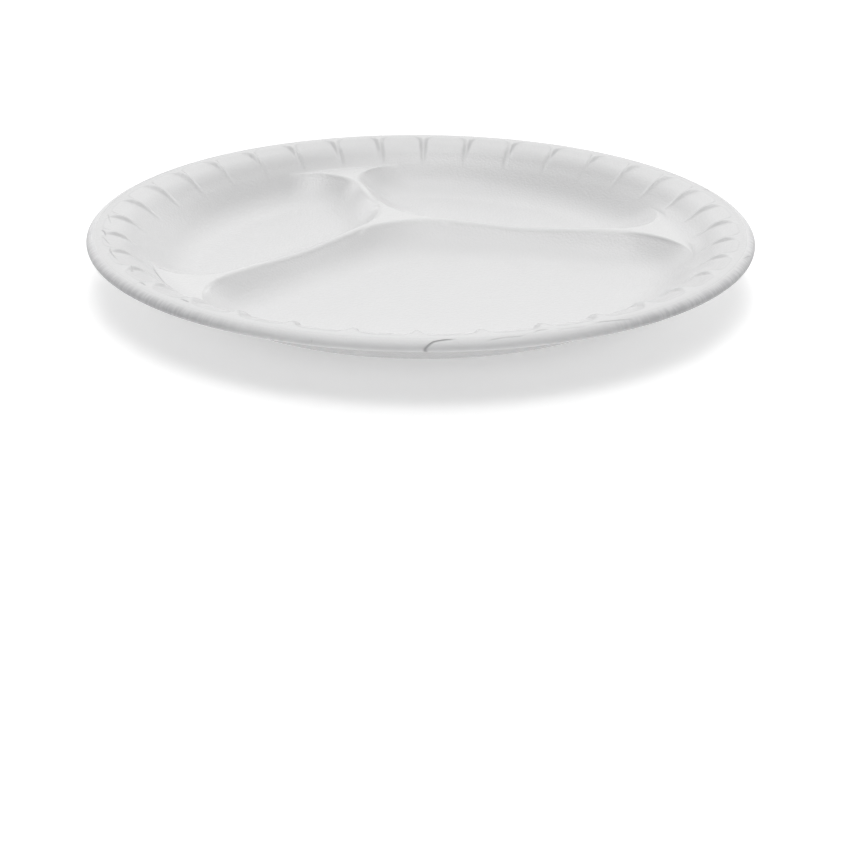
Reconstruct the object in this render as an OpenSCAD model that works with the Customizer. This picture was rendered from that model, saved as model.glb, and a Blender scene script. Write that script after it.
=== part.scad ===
// Round foam plate with three compartments, pressed from one foam sheet.
// The plate stands on the flat undersides of its three floors.
// Origin: centre of the plate, on the table. +Z is up and +Y points along the back divider.
// Units: millimetres and degrees.

/* [Plate] */
// Outer diameter across the lip
plate_d = 225; // [215:1:240]
// Height of the brim crest above the table
plate_h = 19.3; // [18:0.1:22]
// Thickness of the foam sheet, measured straight down
sheet_t = 2.3; // [1.8:0.1:2.6]

/* [Brim] */
// Width of the brim from its crest out to the lip
brim_w = 7.4; // [6.8:0.1:8.5]
// Width of the roll along the outer edge of the brim
roll_w = 4.6; // [3.6:0.1:5.4]
// Fall of the roll from the brim down to the lip
roll_drop = 2.4; // [1.6:0.1:2.8]
// Half width of the rounding that carries the wall into the brim
crest_round = 3; // [2.4:0.1:3.4]
// Width of the rounded lower edge of the lip
lip_w = 0.7; // [0.5:0.1:1]
// Height of that rounded lower edge
lip_h = 0.8; // [0.6:0.1:1]
// Thickness of the pressed sheet at the lip
lip_t = 2; // [1.6:0.1:2.2]

/* [Wall] */
// Slope of the wall
wall_angle = 41; // [38:1:44]
// Radius of the hollow between the wall and the floor
foot_round = 22.6; // [19:0.2:24]
// Slope at which that hollow starts on the floor
toe_angle = 5; // [2:0.5:8]

/* [Flutes] */
// Number of flutes round the wall
flute_n = 36; // [30:1:38]
// Depth of a flute at its shoulder
flute_deep = 0.5; // [0.3:0.1:0.8]
// Distance from the brim crest in to the shoulder of a flute
shoulder_in = 6.5; // [6:0.1:7]
// Slope of the shelf between the shoulder and the arched end of a flute
shelf_angle = 27; // [23:1:31]
// Distance from the brim crest in to where the shelf starts to ease into the brim
ease_in = 2.6; // [2:0.1:3.2]
// Distance from the brim crest out to the arched end of a flute
arch_out = 1.4; // [0.6:0.1:1.6]
// Height of the foot of a flute above the dividers
flute_up = 1.3; // [0.8:0.1:2]
// Width of the ridge between two flutes at its foot, flanks included
ridge_foot_w = 2.6; // [2.3:0.1:3]
// Width of that ridge at its top
ridge_top_w = 3.8; // [3:0.1:4.6]
// Width of each flank of a ridge
flank_w = 0.95; // [0.7:0.05:1.05]
// Radius of the two upper corners of a flute
arch_corner = 4.4; // [3:0.1:5]

/* [Dividers] */
// Height of the dividers at the wall and at their junction, above the table
divider_h = 11.1; // [9.8:0.1:12]
// Sag of a long divider's crest between its level ends
sag = 1.6; // [0:0.1:2]
// Length of the level stretch of a crest at the junction
sag_in = 12; // [8:1:16]
// Length of the level stretch of a crest at the wall
sag_out = 22; // [16:1:26]
// Width of a divider crest
crest_w = 4.2; // [3.2:0.1:5]
// Height of the round crown on a divider crest
crown = 0.95; // [0.5:0.05:1.1]
// Distance of the junction of the dividers behind the plate's centre
junction_y = 29; // [26:0.5:32]
// Width of the sloping sides of the small compartments at the dividers
small_side_w = 14.5; // [12.5:0.5:15.5]
// Width of the sloping sides of the large compartment at the dividers
large_side_w = 16.5; // [14:0.5:18]
// Radius of the bend of a small compartment at the junction, along the crest
small_bend = 28; // [22:1:32]
// Radius of the bend of the large compartment at the junction, along the crest
large_bend = 35; // [28:1:40]
// Radius of the corners that widen a crest into its fan, in a small compartment
small_corner = 17; // [14:0.5:19]
// Radius of those corners in the large compartment
large_corner = 25; // [21:0.5:27]

/* [Floors] */
// Radius of the corners of a small floor at the wall
small_floor_corner = 8; // [6:0.5:10]
// Radius of the corners of the large floor at the wall
large_floor_corner = 10; // [7:0.5:13]
// Radius of the bend of a small floor at the junction
small_floor_bend = 14; // [10:0.5:18]
// Radius of the bend of the large floor at the junction
large_floor_bend = 42; // [34:1:46]

/* [Hidden] */

// Facets of the mesh
flute_cols = 5;
side_steps = 6;
fan_steps = 7;
junction_steps = 8;
crest_cols = 4;
top_levels = [1, 0.78, 0.56, 0.36, 0.18, 0];
under_levels = [1, 0.6, 0.28, 0];
hub_levels = [0.82, 0.5];

// Radii and heights that follow from the sizes above
slope = tan(wall_angle);
lip_r = plate_d / 2;
lip_z = plate_h - roll_drop;
roll_r = lip_r - roll_w;
crest_r = lip_r - brim_w;
function wall_r(z) = crest_r - crest_round - (plate_h - z) / slope;
deck_r = wall_r(divider_h);
floor_z = sheet_t;
foot_run = foot_round * (sin(wall_angle) - sin(toe_angle));
foot_rise = foot_round * (cos(toe_angle) - cos(wall_angle));
floor_r = wall_r(floor_z + foot_rise) - foot_run;
arch_r = crest_r + arch_out;
ease_r = crest_r - ease_in;
shoulder_r = crest_r - shoulder_in;
flute_foot_z = divider_h + flute_up;
flute_foot_r = wall_r(flute_foot_z);
crest_half = crest_w / 2;
pitch = 360 / flute_n;
cols = flute_n * flute_cols;
junction = [0, junction_y];

// Directions of the three dividers, counterclockwise from the back one
arms = [90, 210, 330];

function unit(a) = [cos(a), sin(a)];
function left_of(a) = [-sin(a), cos(a)];
function mix(a, b, s) = a * (1 - s) + b * s;
function held(x) = max(0, min(1, x));
function ease(x) = let (t = held(x)) t * t * (3 - 2 * t);
function at_z(p, z) = [p[0], p[1], z];
function polar(r, a, z) = [r * cos(a), r * sin(a), z];
function join(lists) = [for (l = lists) each l];
function turned(l) = [for (i = [len(l) - 1:-1:0]) l[i]];

// Rim section

// Height along a ridge: straight wall, rounded crest, level brim, then the roll down to the lip
function ridge_z(r) =
    r > roll_r ? plate_h - roll_drop * (1 - sqrt(1 - pow(held((r - roll_r) / roll_w), 2)))
    : r > crest_r ? plate_h
    : crest_r - r < 2 * crest_round ? plate_h - slope * pow(crest_r - r, 2) / (4 * crest_round)
    : plate_h - slope * (crest_r - r - crest_round);

// Height along the middle of a flute: up to its shoulder, on along the shelf, then into the brim
shoulder_z = ridge_z(shoulder_r) - flute_deep;
function hollow_z(r) =
    let (steep = mix(flute_foot_z, shoulder_z, (r - flute_foot_r) / (shoulder_r - flute_foot_r)),
        shelf = shoulder_z + tan(shelf_angle) * (r - shoulder_r),
        eased = mix(min(steep, shelf), ridge_z(r), ease((r - ease_r) / (arch_r - ease_r))))
    r <= flute_foot_r || r >= arch_r ? ridge_z(r) : min(eased, ridge_z(r));

// Half width of a ridge with its flanks: wider upward, and swelling into the rounded flute corners
function ridge_half(r) =
    let (climb = held((r - flute_foot_r) / (arch_r - flute_foot_r)),
        corner = held((r - arch_r + arch_corner) / arch_corner))
    mix(ridge_foot_w, ridge_top_w, climb) / 2 + arch_corner * (1 - sqrt(1 - corner * corner));

// Place of a column within its pitch: two on a ridge's top, one at each flank's foot, one mid-flute
function column_place(r, j) =
    let (half = ridge_half(r) / r * 180 / PI, top = half - flank_w / r * 180 / PI)
    [-top, top, half, pitch / 2, pitch - half][j];

// Angle of column c: evenly spread at the deck and at the lip, and along the flutes in between
function col_angle(r, c) =
    let (j = (c % flute_cols + flute_cols) % flute_cols, even = pitch * (2 * j - 1) / (2 * flute_cols),
        low = held((r - deck_r) / (flute_foot_r - deck_r)), high = held((lip_r - r) / (lip_r - arch_r)))
    (c - j) / flute_cols * pitch + mix(even, column_place(r, j), min(low, high));

function rim_z(r, c) = c % flute_cols < 2 ? ridge_z(r) : hollow_z(r);

// The sheet thins from the crest out to the lip
function sheet_at(r) = r > crest_r ? mix(sheet_t, lip_t, (r - crest_r) / brim_w) : sheet_t;

function rim_ring(r, down) =
    [for (c = [0:cols - 1]) polar(r, col_angle(r, c), rim_z(r, c) - (down ? sheet_at(r) : 0))];
function lip_ring(in, drop) =
    [for (c = [0:cols - 1]) polar(lip_r - in, col_angle(lip_r, c), lip_z - drop)];

rim_top = [deck_r, flute_foot_r, shoulder_r, mix(shoulder_r, ease_r, 0.5), ease_r, mix(ease_r, arch_r, 0.5),
    arch_r, roll_r + 0.5 * roll_w, roll_r + 0.8 * roll_w, roll_r + 0.95 * roll_w];
rim_under = [lip_r - 1.9 * lip_w, roll_r, mix(ease_r, arch_r, 0.5), mix(shoulder_r, ease_r, 0.7),
    mix(flute_foot_r, shoulder_r, 0.5), deck_r];

rim_rings = [
    for (r = rim_top) rim_ring(r, false),
    lip_ring(0, 0),
    lip_ring(lip_w * 0.3, lip_h * 0.7),
    lip_ring(lip_w, lip_h),
    for (r = rim_under) rim_ring(r, true)
];

// Compartments, each numbered as the divider on its right; number 1 is the large one

function side_w(k) = k == 1 ? large_side_w : small_side_w;
function deck_corner(k) = k == 1 ? large_corner : small_corner;
function deck_bend(k) = k == 1 ? large_bend : small_bend;
function floor_corner(k) = k == 1 ? large_floor_corner : small_floor_corner;
function floor_bend(k) = k == 1 ? large_floor_bend : small_floor_bend;

// Compartment on the left of a divider, hand 1, or on its right, hand -1
function pocket_of(n, hand) = hand > 0 ? n : (n + 2) % 3;

// Point beside a divider: t along it from the junction, off to its left
function beside(arm, t, off) = junction + unit(arm) * t + left_of(arm) * off;

// Length of a divider's middle line from the junction to the wall
function arm_length(arm) =
    let (along = junction * unit(arm)) sqrt(along * along - junction * junction + deck_r * deck_r) - along;

// Angle at which a corner circle that touches a divider's side also touches a circle about the centre
function touch_angle(arm, hand, off, r, corner) =
    let (q = junction + left_of(arm) * hand * (off + corner), along = q * unit(arm),
        p = q + unit(arm) * (sqrt(along * along - q * q + pow(r - corner, 2)) - along),
        a = atan2(p[1], p[0]))
    a + 360 * round((arm - a) / 360);

// Rim column nearest to an angle at the deck, taken so that a fan is rather too narrow than too wide
function near_col(a, hand) = round((a / pitch + 1 / (2 * flute_cols)) * flute_cols - 0.25 * hand);

// Column at which the fan at the end of divider n ends on its left, hand 1, or its right, hand -1
function fan_col(n, hand) =
    near_col(touch_angle(arms[n], hand, crest_half, deck_r, deck_corner(pocket_of(n, hand))), hand);
function deck_angle(n, hand) = col_angle(deck_r, fan_col(n, hand));

// Side of a divider from the junction's bend out along a straight and a corner to the circle at angle a
function arm_side(arm, hand, off, r, a, bend_r) =
    let (across = left_of(arm) * hand, out = unit(a), base = junction + across * off,
        radius = (r * (out * across) - base * across) / (1 + out * across),
        centre = (r - radius) * out, start = (off + bend_r) / tan(60),
        end = (centre - junction) * unit(arm), first = arm - 90 * hand)
    [
        for (i = [0:side_steps]) beside(arm, mix(start, end, i / side_steps), off * hand),
        for (i = [1:fan_steps]) centre + radius * unit(mix(first, a, i / fan_steps))
    ];

// Middle of the bend's circle at the junction, in the compartment left of a divider
function bend_middle(arm, off, bend_r) = junction + unit(arm + 60) * (off + bend_r) / sin(60);

// Bend at the junction, from the next divider's side to this one's, without its ends
function junction_arc(arm, off, bend_r) =
    [for (i = [1:junction_steps - 1])
        bend_middle(arm, off, bend_r) + bend_r * unit(arm + mix(210, 270, i / junction_steps))];

// Arc of the circle between two angles, without its ends
function arc_between(r, a0, a1, n) = [for (i = [1:n - 1]) r * unit(mix(a0, a1, i / n))];

// Outline of compartment k, counterclockwise: out along divider a, round the wall, in along divider b
function outline(k, off, r, a0, a1, bend_r) = join([
    arm_side(arms[k], 1, off, r, a0, bend_r),
    arc_between(r, a0, a1, wall_cols(k)),
    turned(arm_side(next_arm(k), -1, off, r, a1, bend_r)),
    junction_arc(arms[k], off, bend_r)
]);

arm_steps = side_steps + fan_steps + 1;

// Divider b, counterclockwise of divider a, as an angle above that of a
function next_arm(k) = arms[(k + 1) % 3] + (k == 2 ? 360 : 0);
function next_turn(k) = k == 2 ? cols : 0;

// Columns of wall between the two fans of compartment k
function wall_cols(k) = fan_col((k + 1) % 3, -1) + next_turn(k) - fan_col(k, 1);

function deck_outline(k) =
    outline(k, crest_half, deck_r, deck_angle(k, 1), deck_angle((k + 1) % 3, -1) + next_turn(k) / cols * 360,
        deck_bend(k));

function floor_outline(k) =
    let (off = crest_half + side_w(k), corner = floor_corner(k))
    outline(k, off, floor_r, touch_angle(arms[k], 1, off, floor_r, corner),
        touch_angle(next_arm(k), -1, off, floor_r, corner), floor_bend(k));

// Height of a divider's crest above plan point p: level at both ends, sagging between them
function crest_z(arm, p) =
    let (long = arm_length(arm), t = (p - junction) * unit(arm))
    divider_h - sag * min(1, long / 100) * pow(sin(180 * held((t - sag_in) / (long - sag_in - sag_out))), 2);

// Share of the crown's drop at step i of a side: whole along the divider, none where its fan starts
function crown_share(i) = 1 - ease((i - side_steps - 0.3 * fan_steps) / (0.7 * fan_steps - 2));

function edge_z(arm, p, i) = crest_z(arm, p) - crown * crown_share(i);

// Height of point i of compartment k's deck outline
function deck_z(k, p, i) =
    let (n = wall_cols(k))
    i < arm_steps ? edge_z(arms[k], p, i)
    : i < arm_steps + n - 1 ? divider_h
    : i < 2 * arm_steps + n - 1 ? edge_z(next_arm(k), p, 2 * arm_steps + n - 2 - i)
    : divider_h - crown;

// Share of the height at share s of the way from the floor's edge: a round hollow, then straight
function side_rise(s) =
    let (x = s * (deck_r - floor_r))
    (x < foot_run ? foot_round * (cos(toe_angle) - cos(asin(sin(toe_angle) + x / foot_round)))
        : foot_rise + (x - foot_run) * slope) / (divider_h - floor_z);

// Ring of a compartment at share s of the way from its floor's edge to its deck edge
function pocket_ring(k, s, down) =
    let (deck = deck_outline(k), base = floor_outline(k))
    [for (i = [0:len(deck) - 1])
        at_z(mix(base[i], deck[i], s), mix(floor_z, deck_z(k, deck[i], i), side_rise(s)) - down)];

// Deck: crests of the dividers, their junction and their fans

// Drop of the crown at a distance in from the edge of the deck
function crown_drop(inward) = crown * pow(1 - held(inward / crest_half), 2);

// Side of divider n along the deck
function deck_side(n, hand) =
    arm_side(arms[n], hand, crest_half, deck_r, deck_angle(n, hand), deck_bend(pocket_of(n, hand)));

// Rows across the crest of divider n, from its right edge to its left one, up to where its fan starts
function crest_rows(n, down) =
    let (right = deck_side(n, -1), left = deck_side(n, 1))
    [for (i = [0:arm_steps - 3]) [for (j = [0:crest_cols])
        let (wide = (left[i] - right[i]) * left_of(arms[n]), shoulder = min(0.25, crest_half / 2 / wide),
            v = [0, shoulder, 0.5, 1 - shoulder, 1][j], p = mix(right[i], left[i], v))
        at_z(p, mix(crest_z(arms[n], right[i]), crest_z(arms[n], left[i]), v)
            - crown_drop(min(v, 1 - v) * wide) * crown_share(i) - down)]];

// Fan at the wall end of divider n: the last row across its crest with one more point of each side,
// then the rim's columns
function fan_side(n, hand, down) =
    let (i = arm_steps - 2, p = deck_side(n, hand)[i]) at_z(p, edge_z(arms[n], p, i) - down);
function fan_points(n, down) = concat(
    [fan_side(n, -1, down)],
    crest_rows(n, down)[arm_steps - 3],
    [fan_side(n, 1, down)],
    [for (c = [fan_col(n, -1):fan_col(n, 1)]) polar(deck_r, col_angle(deck_r, c), divider_h - down)]
);

// Triangles between m points of that row and n steps of the rim, each step joined to its nearest point
function fan_near(i, m, n) = min(m - 1, floor(i * m / n));
function fan_faces(m, n) = concat(
    [for (i = [0:n - 1]) [fan_near(i, m, n), m + i + 1, m + i]],
    [for (i = [0:n - 2]) if (fan_near(i + 1, m, n) > fan_near(i, m, n))
        [fan_near(i, m, n), fan_near(i + 1, m, n), m + i + 1]]
);

// Edge of the junction: the first row of each crest and the bend on its left
function hub_edge(down) = join([for (n = [0:2]) concat(
    crest_rows(n, down)[0],
    [for (p = turned(junction_arc(arms[n], crest_half, deck_bend(n)))) at_z(p, divider_h - crown - down)]
)]);

// Distance in from the nearest bend to a point of the junction
function hub_inward(p) =
    min([for (n = [0:2]) norm(p - bend_middle(arms[n], crest_half, deck_bend(n))) - deck_bend(n)]);

// Ring round the junction at share s of the way out to its edge
function hub_ring(s, down) =
    [for (e = hub_edge(down)) let (p = mix(junction, [e[0], e[1]], s))
        at_z(p, divider_h - crown_drop(hub_inward(p)) - down)];

function hub_rows(down) = [hub_edge(down), for (s = hub_levels) hub_ring(s, down)];

// Patches: each is a list of points and a list of triangles, clockwise from outside

function flipped(faces) = [for (f = faces) [f[2], f[1], f[0]]];

// Rows of points joined by triangles; round closes each row on itself
function grid_faces(rows, n, round) =
    join([for (j = [0:rows - 2]) for (i = [0:n - (round ? 1 : 2)])
        let (a = j * n + i, b = j * n + (i + 1) % n) [[a, b, b + n], [a, b + n, a + n]]]);

function grid_patch(rows, round, flip) =
    let (faces = grid_faces(len(rows), len(rows[0]), round)) [join(rows), flip ? flipped(faces) : faces];

// A wheel of triangles round the first point
function wheel_patch(pts, flip) =
    let (n = len(pts) - 1, faces = [for (i = [0:n - 1]) [0, 1 + (i + 1) % n, 1 + i]])
    [pts, flip ? flipped(faces) : faces];

// A flat floor: triangles round its middle
function floor_patch(k, down) =
    let (ring = pocket_ring(k, 0, down), mid = [for (p = ring) 1] * ring / len(ring))
    wheel_patch(concat([mid], ring), down > 0);

function compartment_patches(k) = [
    grid_patch([for (s = top_levels) pocket_ring(k, s, 0)], true, true),
    floor_patch(k, 0),
    grid_patch([for (s = under_levels) pocket_ring(k, s, sheet_t)], true, false),
    floor_patch(k, sheet_t)
];

// The fan of divider n
function fan_patch(n, down) =
    let (faces = fan_faces(crest_cols + 3, fan_col(n, 1) - fan_col(n, -1)))
    [fan_points(n, down), down > 0 ? flipped(faces) : faces];

function divider_patches(n) = join([for (down = [0, sheet_t]) [
    grid_patch(crest_rows(n, down), false, down > 0),
    fan_patch(n, down)
]]);

function junction_patches() = join([for (down = [0, sheet_t])
    let (rows = hub_rows(down)) [
        grid_patch(rows, true, down == 0),
        wheel_patch(concat([at_z(junction, divider_h - down)], rows[len(rows) - 1]), down > 0)
    ]]);

function plate_patches() = concat(
    [grid_patch(rim_rings, true, false)],
    join([for (k = [0:2]) compartment_patches(k)]),
    join([for (n = [0:2]) divider_patches(n)]),
    junction_patches()
);

// Index of the first point of each patch
function starts(patches, i = 0, sum = 0) =
    i == len(patches) ? [] : concat([sum], starts(patches, i + 1, sum + len(patches[i][0])));

// One pressed sheet: rim, compartments, dividers and junction as one closed surface
module plate() {
    patches = plate_patches();
    first = starts(patches);
    color("whitesmoke")
    polyhedron(
        points = join([for (p = patches) p[0]]),
        faces = join([for (i = [0:len(patches) - 1]) [for (f = patches[i][1]) f + [1, 1, 1] * first[i]]]),
        convexity = 6
    );
}

plate();
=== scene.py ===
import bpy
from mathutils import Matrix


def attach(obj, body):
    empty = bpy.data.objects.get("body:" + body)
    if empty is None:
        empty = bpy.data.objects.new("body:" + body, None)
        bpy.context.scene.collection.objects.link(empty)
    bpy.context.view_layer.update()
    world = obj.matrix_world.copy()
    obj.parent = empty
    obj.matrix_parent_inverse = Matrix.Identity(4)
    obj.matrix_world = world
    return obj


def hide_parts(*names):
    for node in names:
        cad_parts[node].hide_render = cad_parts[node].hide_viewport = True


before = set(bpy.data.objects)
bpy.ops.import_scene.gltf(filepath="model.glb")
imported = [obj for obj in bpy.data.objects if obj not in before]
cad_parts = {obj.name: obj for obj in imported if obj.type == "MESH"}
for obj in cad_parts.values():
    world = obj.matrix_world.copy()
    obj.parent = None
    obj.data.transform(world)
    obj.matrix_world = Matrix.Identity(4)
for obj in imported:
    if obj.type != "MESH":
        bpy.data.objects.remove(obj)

"""Dresses the foam compartment plate: one pressed sheet with a fluted wall, a rolled brim and
three compartments, in a satin white foam, on a pale floor under soft studio light.

Lengths are millimetres and angles are degrees, except where a class says otherwise. Meshes
are written in metres.
"""

import logging
import math
from dataclasses import dataclass, field
from enum import Enum

import bmesh
import bpy
import numpy as np
from mathutils import Matrix, Vector

LOG = logging.getLogger("foam_plate")
MM = 0.001
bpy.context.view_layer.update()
Colour = tuple[float, float, float, float]


def unit(angle: float | np.ndarray) -> np.ndarray:
    """Unit vectors in plan at angles in degrees, on a new last axis."""
    a = np.radians(angle)
    return np.stack([np.cos(a), np.sin(a)], axis=-1)


def nearest_turn(angle: float, other: float) -> float:
    """An angle moved by whole turns to come nearest another."""
    return angle + 360 * round((other - angle) / 360)


def mix(a: np.ndarray, b: np.ndarray, s: np.ndarray | float) -> np.ndarray:
    """Linear blend from a to b: a times one minus s, plus b times s."""
    return a * (1 - s) + b * s


def ease(x: np.ndarray | float, low: float = 0.0, high: float = 1.0) -> np.ndarray:
    """Smooth step from 0 at low to 1 at high: three x squared less two x cubed, held outside."""
    t = np.clip((np.asarray(x, dtype=float) - low) / (high - low), 0, 1)
    return t * t * (3 - 2 * t)


def rounding(gap: np.ndarray, soft: float) -> np.ndarray:
    """Rounding of a bend: a quarter of its softness, times the squared share the gap falls short."""
    near = np.maximum(soft - np.abs(gap), 0) / soft
    return near**2 * soft / 4


def lesser(a: np.ndarray, b: np.ndarray, soft: float) -> np.ndarray:
    """Smooth lesser of two heights: the lower one, less the rounding where they come near."""
    return np.minimum(a, b) - rounding(a - b, soft)


@dataclass(frozen=True)
class Rim:
    """Wall, flutes, brim and lip of the plate, as heights over radius and angle."""

    lip_r: float = 112.48
    crest_r: float = 105.1
    crest_z: float = 19.3
    crest_round: float = 3.0
    wall_angle: float = 41.0
    lip_z: float = 16.9
    lip_bottom_z: float = 16.1
    lip_w: float = 0.7
    roll_w: float = 4.6
    flutes: int = 36
    flute_foot_r: float = 92.7
    flute_set: float = 0.35
    flute_set_r: float = 97.0
    shelf_r: float = 100.5
    shelf_z: float = 17.05
    shelf_angle: float = 19.0
    shoulder_soft: float = 1.5
    brim_soft: float = 0.5
    arch_r: float = 108.2
    arch_corner: float = 5.6
    ridge_foot_w: float = 2.0
    ridge_top_w: float = 3.4
    flank_foot_w: float = 0.8
    flank_top_w: float = 1.5
    fold_r: float = 107.3
    fold_corner: float = 4.2
    sheet: float = 2.3
    lip_sheet: float = 2.05
    columns_per_flute: int = 20

    @property
    def slope(self) -> float:
        """Rise of the wall over its run."""
        return math.tan(math.radians(self.wall_angle))

    @property
    def pitch(self) -> float:
        """Angle from one ridge to the next."""
        return 360 / self.flutes

    def radius_at(self, z: float) -> float:
        """Radius at which the straight wall stands at a height."""
        return self.crest_r - self.crest_round - (self.crest_z - z) / self.slope

    def column_angles(self) -> np.ndarray:
        """Angles of the mesh columns, closer together near the ridges between the flutes.

        Within a flute the place from ridge to ridge, w from -1 to 1, goes to a third of w plus
        two thirds of the sine of w times 90 degrees.

        Returns:
            Angles in degrees from 0 up to 360.
        """
        w = np.arange(self.columns_per_flute) / self.columns_per_flute * 2 - 1
        local = (w / 3 + np.sin(w * np.pi / 2) * 2 / 3 + 1) / 2
        return (np.arange(self.flutes)[:, None] * self.pitch + local[None, :] * self.pitch).ravel()

    def ridge(self, r: np.ndarray) -> np.ndarray:
        """Height along a ridge: straight wall, a parabola over the rounding, then the level brim.

        Over its last stretch the brim rolls down a quarter ellipse to the lip.

        Args:
            r: radii.

        Returns:
            The height at each radius.
        """
        inward = self.crest_r - r
        line = self.crest_z - self.slope * (inward - self.crest_round)
        curve = self.crest_z - self.slope * inward**2 / (4 * self.crest_round)
        y = np.clip((r - self.lip_r + self.roll_w) / self.roll_w, 0, 1)
        brim = self.crest_z - (self.crest_z - self.lip_z) * (1 - np.sqrt(1 - y**2))
        return np.select([inward > 2 * self.crest_round, inward > 0], [line, curve], brim)

    def hollow(self, r: np.ndarray) -> np.ndarray:
        """Height along the middle of a flute: up the wall, over a shoulder, along a shelf to the brim.

        It is the smooth lesser of three heights: the wall, set in a little, a shallow line for the
        shelf, and the brim. It never stands above the ridge.

        Args:
            r: radii.

        Returns:
            The height at each radius.
        """
        wall = self.crest_z - self.slope * (self.crest_r - self.crest_round - r)
        wall = wall - self.flute_set * ease(r, self.flute_foot_r, self.flute_set_r)
        shelf = self.shelf_z + math.tan(math.radians(self.shelf_angle)) * (r - self.shelf_r)
        flute = lesser(lesser(wall, shelf, self.shoulder_soft), self.crest_z, self.brim_soft)
        return np.minimum(flute, self.ridge(r))

    def from_ridge(self, r: np.ndarray, angle: np.ndarray) -> np.ndarray:
        """Distance round the plate from the middle of the nearest ridge."""
        share = 1 - np.abs(np.mod(angle, self.pitch) / self.pitch * 2 - 1)
        return share * np.radians(self.pitch / 2) * r

    def climb(self, r: np.ndarray) -> np.ndarray:
        """Share of the way up a ridge: 0 at its foot, 1 at the flutes' arches."""
        return np.clip((r - self.flute_foot_r) / (self.arch_r - self.flute_foot_r), 0, 1)

    def ridge_half(self, r: np.ndarray) -> np.ndarray:
        """Half width of a ridge, which grows evenly from its foot to its top."""
        return mix(self.ridge_foot_w, self.ridge_top_w, self.climb(r)) / 2

    def top(self, r: np.ndarray, angle: np.ndarray) -> np.ndarray:
        """Height of the top surface: a flute's flat hollow, and a narrow ridge on each side of it.

        Over its last few millimetres the ridge swells by a quarter circle, which rounds the
        flute's upper corners. Its flank is a smooth step that widens upward.

        Args:
            r: radii.
            angle: angles in degrees.

        Returns:
            The height at each place.
        """
        corner = np.clip((r - self.arch_r + self.arch_corner) / self.arch_corner, 0, 1)
        swell = self.arch_corner * (1 - np.sqrt(1 - corner**2))
        middle = self.ridge_half(r) + swell - self.flank_foot_w / 2
        flank = mix(self.flank_foot_w, self.flank_top_w, self.climb(r))
        rise = 1 - ease(self.from_ridge(r, angle), middle - flank / 2, middle + flank / 2)
        ridge = self.ridge(r)
        fluted = mix(self.hollow(r), ridge, rise)
        return np.where((r > self.flute_foot_r) & (r < self.arch_r), fluted, ridge)

    def fold(self, r: np.ndarray, angle: np.ndarray) -> np.ndarray:
        """Distance inside the line along which a flute folds into its ridges and the brim.

        The line is a rounded arch: the corner's radius less the length of what the two distances,
        from the ridge's edge and from the arch's top, fall short of that radius.

        Args:
            r: radii.
            angle: angles in degrees.

        Returns:
            The distance of each place, below 0 outside the line.
        """
        beside = self.from_ridge(r, angle) - self.ridge_half(r)
        short = [np.maximum(self.fold_corner - gap, 0) for gap in (beside, self.fold_r - r)]
        return self.fold_corner - np.hypot(*short)

    def thickness(self, r: np.ndarray) -> np.ndarray:
        """Thickness of the sheet straight down: even on the wall, thinner to the lip."""
        x = np.clip((r - self.crest_r) / (self.lip_r - self.crest_r), 0, 1)
        return mix(self.sheet, self.lip_sheet, x)


class Pocket(Enum):
    """The three compartments, each numbered as the divider on its right."""

    LEFT = 0
    LARGE = 1
    RIGHT = 2


@dataclass(frozen=True)
class PocketShape:
    """Width of a compartment's sides, and radii of its corners and of its bend at the junction."""

    side_w: float
    corner_r: float
    bend_r: float
    floor_corner_r: float
    floor_bend_r: float


@dataclass(frozen=True)
class Dividers:
    """The three dividers, their junction and their fans, with the floors between them."""

    deck_z: float = 11.1
    crest_half: float = 2.1
    crown: float = 0.95
    crown_fade: float = 0.35
    junction_y: float = 29.0
    arms: tuple[float, ...] = (90.0, 210.0, 330.0)
    small: PocketShape = PocketShape(14.5, 17.0, 28.0, 8.0, 14.0)
    large: PocketShape = PocketShape(16.5, 25.0, 35.0, 10.0, 42.0)
    sag: float = 1.6
    sag_start: float = 12.0
    sag_end: float = 22.0
    sag_length: float = 100.0
    floor_r: float = 76.0
    floor_z: float = 2.3
    foot_round: float = 22.6
    toe_angle: float = 5.0
    side_rows: int = 34
    corner_rows: int = 17
    bend_rows: int = 16
    arc_lead: int = 4
    arc_power: float = 1.5
    hub_power: int = 4

    @property
    def junction(self) -> np.ndarray:
        """Plan point at which the three dividers meet."""
        return np.array([0.0, self.junction_y])

    @property
    def half_gap(self) -> float:
        """Half the angle between two dividers."""
        return 180 / len(self.arms)

    def shape(self, pocket: Pocket) -> PocketShape:
        """Radii of a compartment."""
        return self.large if pocket is Pocket.LARGE else self.small

    def beside(self, arm: float, hand: int) -> Pocket:
        """Compartment on a divider's left, hand 1, or on its right, hand -1."""
        k = self.arms.index(arm)
        return Pocket(k if hand == 1 else (k - 1) % len(self.arms))

    def bend_centre(self, arm: float, off: float, radius: float) -> np.ndarray:
        """Centre of the circle that touches a divider's left side and the next one's right side."""
        half = math.radians(self.half_gap)
        return self.junction + unit(arm + self.half_gap) * (off + radius) / math.sin(half)


@dataclass(frozen=True)
class Fan:
    """End of a divider at the wall: its wall columns, their angles and their places on the deck."""

    columns: np.ndarray
    angle: np.ndarray
    arc: np.ndarray

    @property
    def chord(self) -> np.ndarray:
        """Straight way from the first place to the last one."""
        return self.arc[-1] - self.arc[0]

    @property
    def width(self) -> float:
        """Length of the chord."""
        return np.linalg.norm(self.chord)

    @property
    def share(self) -> np.ndarray:
        """Share of the way along the chord at each place."""
        return (self.arc - self.arc[0]) @ self.chord / (self.chord @ self.chord)

    @property
    def side_share(self) -> np.ndarray:
        """Share of the chord between each place and the nearer side."""
        return np.minimum(self.share, 1 - self.share)


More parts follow.
